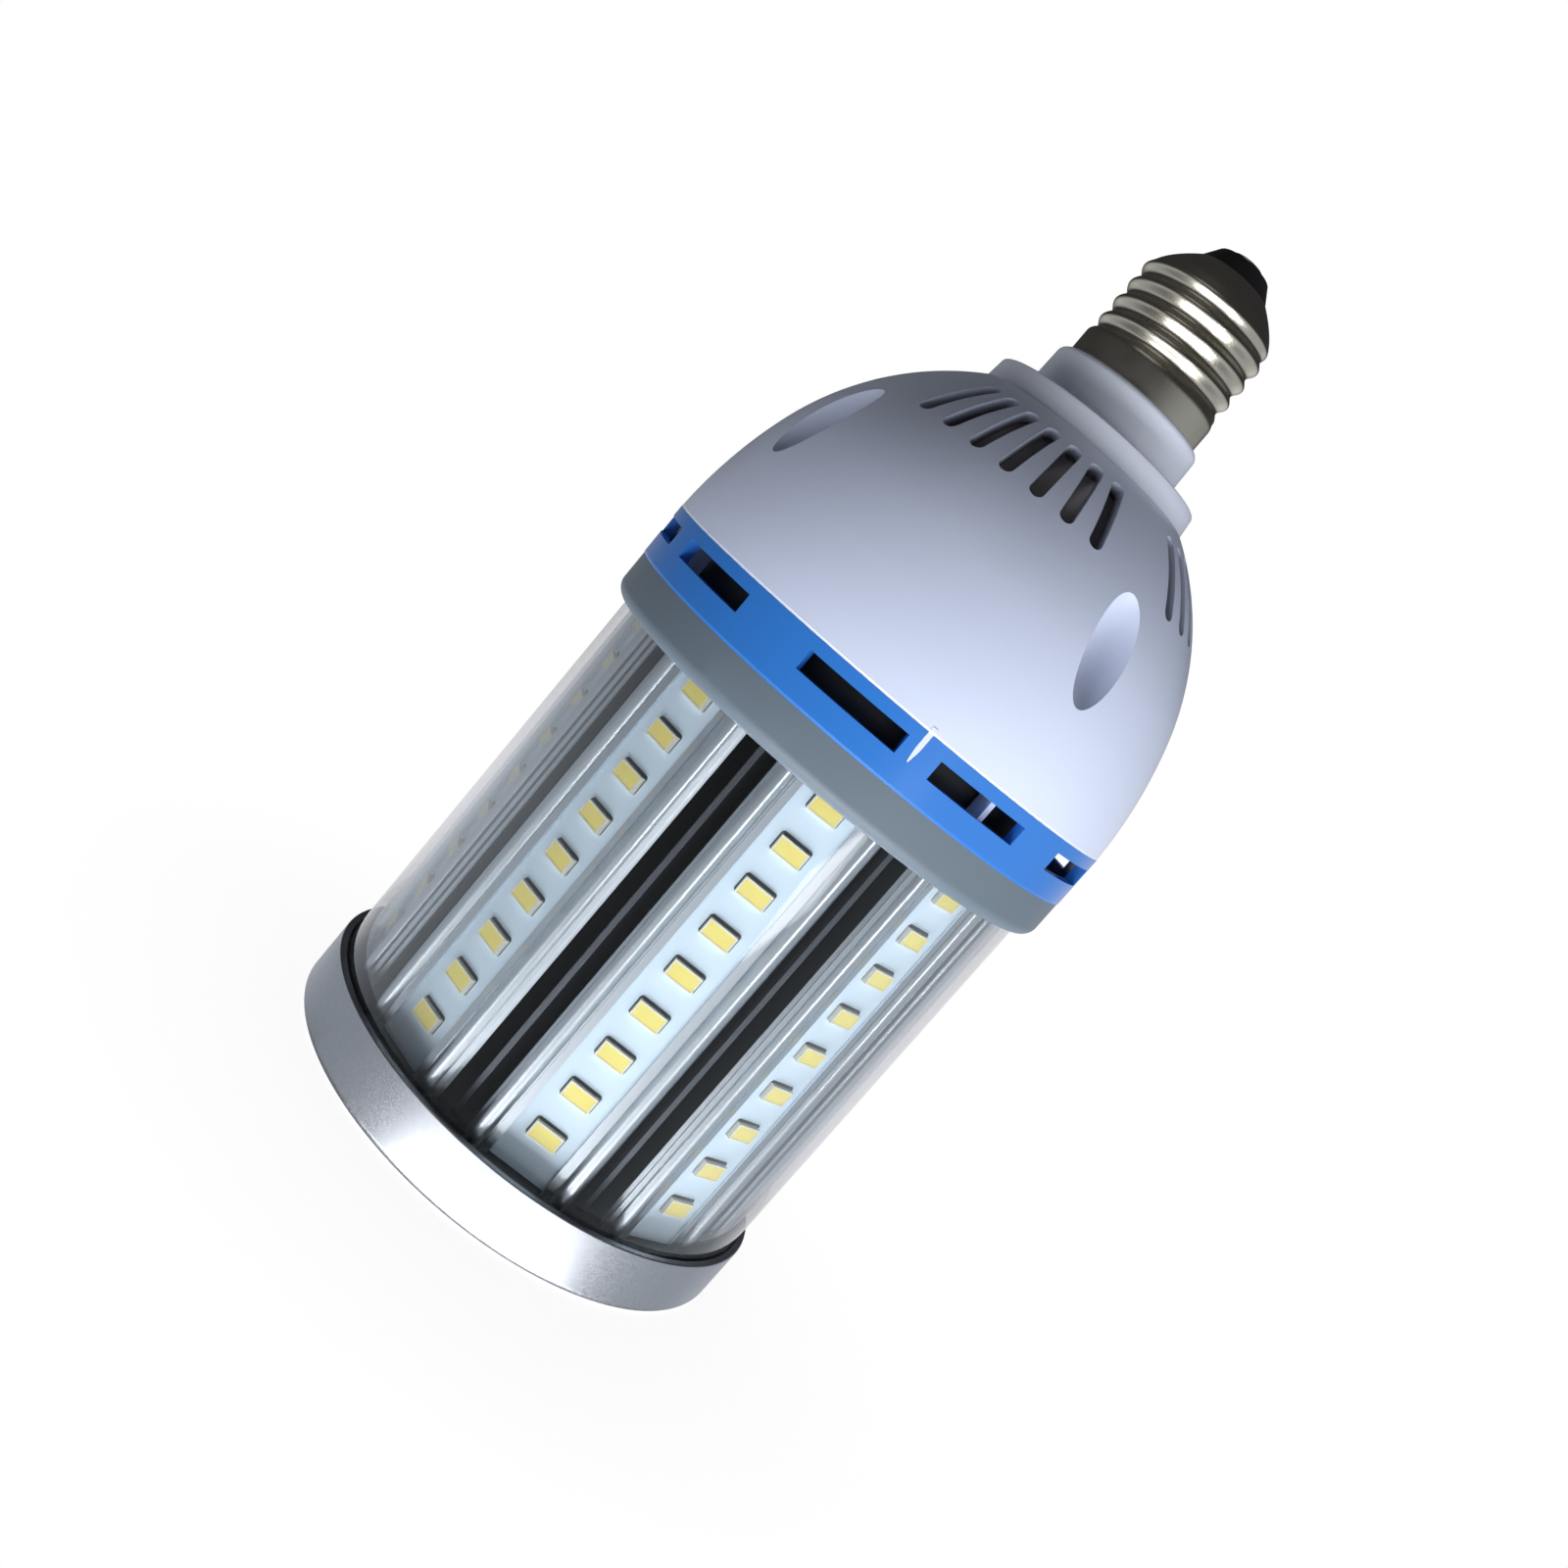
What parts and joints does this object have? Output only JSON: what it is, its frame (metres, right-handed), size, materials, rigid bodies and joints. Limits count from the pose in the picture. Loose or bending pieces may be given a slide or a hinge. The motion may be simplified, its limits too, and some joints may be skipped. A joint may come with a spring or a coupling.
{
  "type": "corn led bulb",
  "caption": "Corn LED bulb: columns of LEDs on a finned heatsink inside a clear tube, metal end cap, vented ring, white dome housing with air slots and an E27 screw cap.",
  "frame": {"origin": "centre of the end cap's flat face, which the bulb stands on", "axes": "+Z along the bulb's axis towards the screw cap; -Y is the side the picture was taken from"},
  "size_m": [0.0924, 0.0924, 0.1936],
  "materials": {
    "satin_aluminium": "satin turned",
    "black_plastic": "fine matt",
    "screw_steel": "zinc plated",
    "clear_plastic": "clear and glossy",
    "silicone": "soft matt",
    "heatsink_aluminium": "extruded, natural",
    "board_white": "white solder mask, semi-gloss",
    "led_package": "white moulded",
    "phosphor": "yellow silicone, glossy",
    "grey_paint": "satin grey",
    "blue_plastic": "glossy",
    "white_plastic": "glossy moulded",
    "adapter_plastic": "semi-gloss moulded",
    "nickel": "rolled, nickel plated",
    "black_insulator": "glossy black",
    "contact_metal": "tinned",
    "driver_green": "green solder mask",
    "standoff_brass": "turned",
    "ferrite": "dark, sintered",
    "coil_tape": "yellow tape",
    "capacitor_sleeve": "shrunk sleeve",
    "film_yellow": "moulded case",
    "varistor_blue": "dipped coating",
    "component_black": "moulded case",
    "resistor_green": "cement coating",
    "lead_red": "wire insulation",
    "lead_white": "wire insulation"
  },
  "bodies": {
    "root": {"end_cap": "satin_aluminium", "seat_ring": "black_plastic", "end_cap_screws": "screw_steel", "clear_cover": "clear_plastic", "cover_gasket": "silicone", "heatsink": "heatsink_aluminium", "led_board_1": "board_white", "led_packages_1": "led_package", "led_phosphors_1": "phosphor", "led_board_2": "board_white", "led_packages_2": "led_package", "led_phosphors_2": "phosphor", "led_board_3": "board_white", "led_packages_3": "led_package", "led_phosphors_3": "phosphor", "led_board_4": "board_white", "led_packages_4": "led_package", "led_phosphors_4": "phosphor", "led_board_5": "board_white", "led_packages_5": "led_package", "led_phosphors_5": "phosphor", "led_board_6": "board_white", "led_packages_6": "led_package", "led_phosphors_6": "phosphor", "led_board_7": "board_white", "led_packages_7": "led_package", "led_phosphors_7": "phosphor", "led_board_8": "board_white", "led_packages_8": "led_package", "led_phosphors_8": "phosphor", "led_board_9": "board_white", "led_packages_9": "led_package", "led_phosphors_9": "phosphor", "grey_ring": "grey_paint", "chassis_screws": "screw_steel", "housing_screws": "screw_steel", "blue_vent_ring": "blue_plastic", "dome_housing": "white_plastic", "base_adapter": "adapter_plastic", "screw_shell": "nickel", "cap_insulator": "black_insulator", "centre_contact": "contact_metal", "driver_sleeve": "black_plastic", "driver_board": "driver_green", "driver_standoffs": "standoff_brass", "driver_screws": "screw_steel", "transformer_core": "ferrite", "transformer_winding": "coil_tape", "input_capacitor": "capacitor_sleeve", "output_capacitor": "capacitor_sleeve", "input_choke": "ferrite", "film_capacitor": "film_yellow", "varistor": "varistor_blue", "bridge_rectifier": "component_black", "driver_chip": "component_black", "fuse_resistor": "resistor_green", "contact_lead": "lead_red", "shell_lead": "lead_white", "led_leads": "lead_white"}
  },
  "joints": []
}
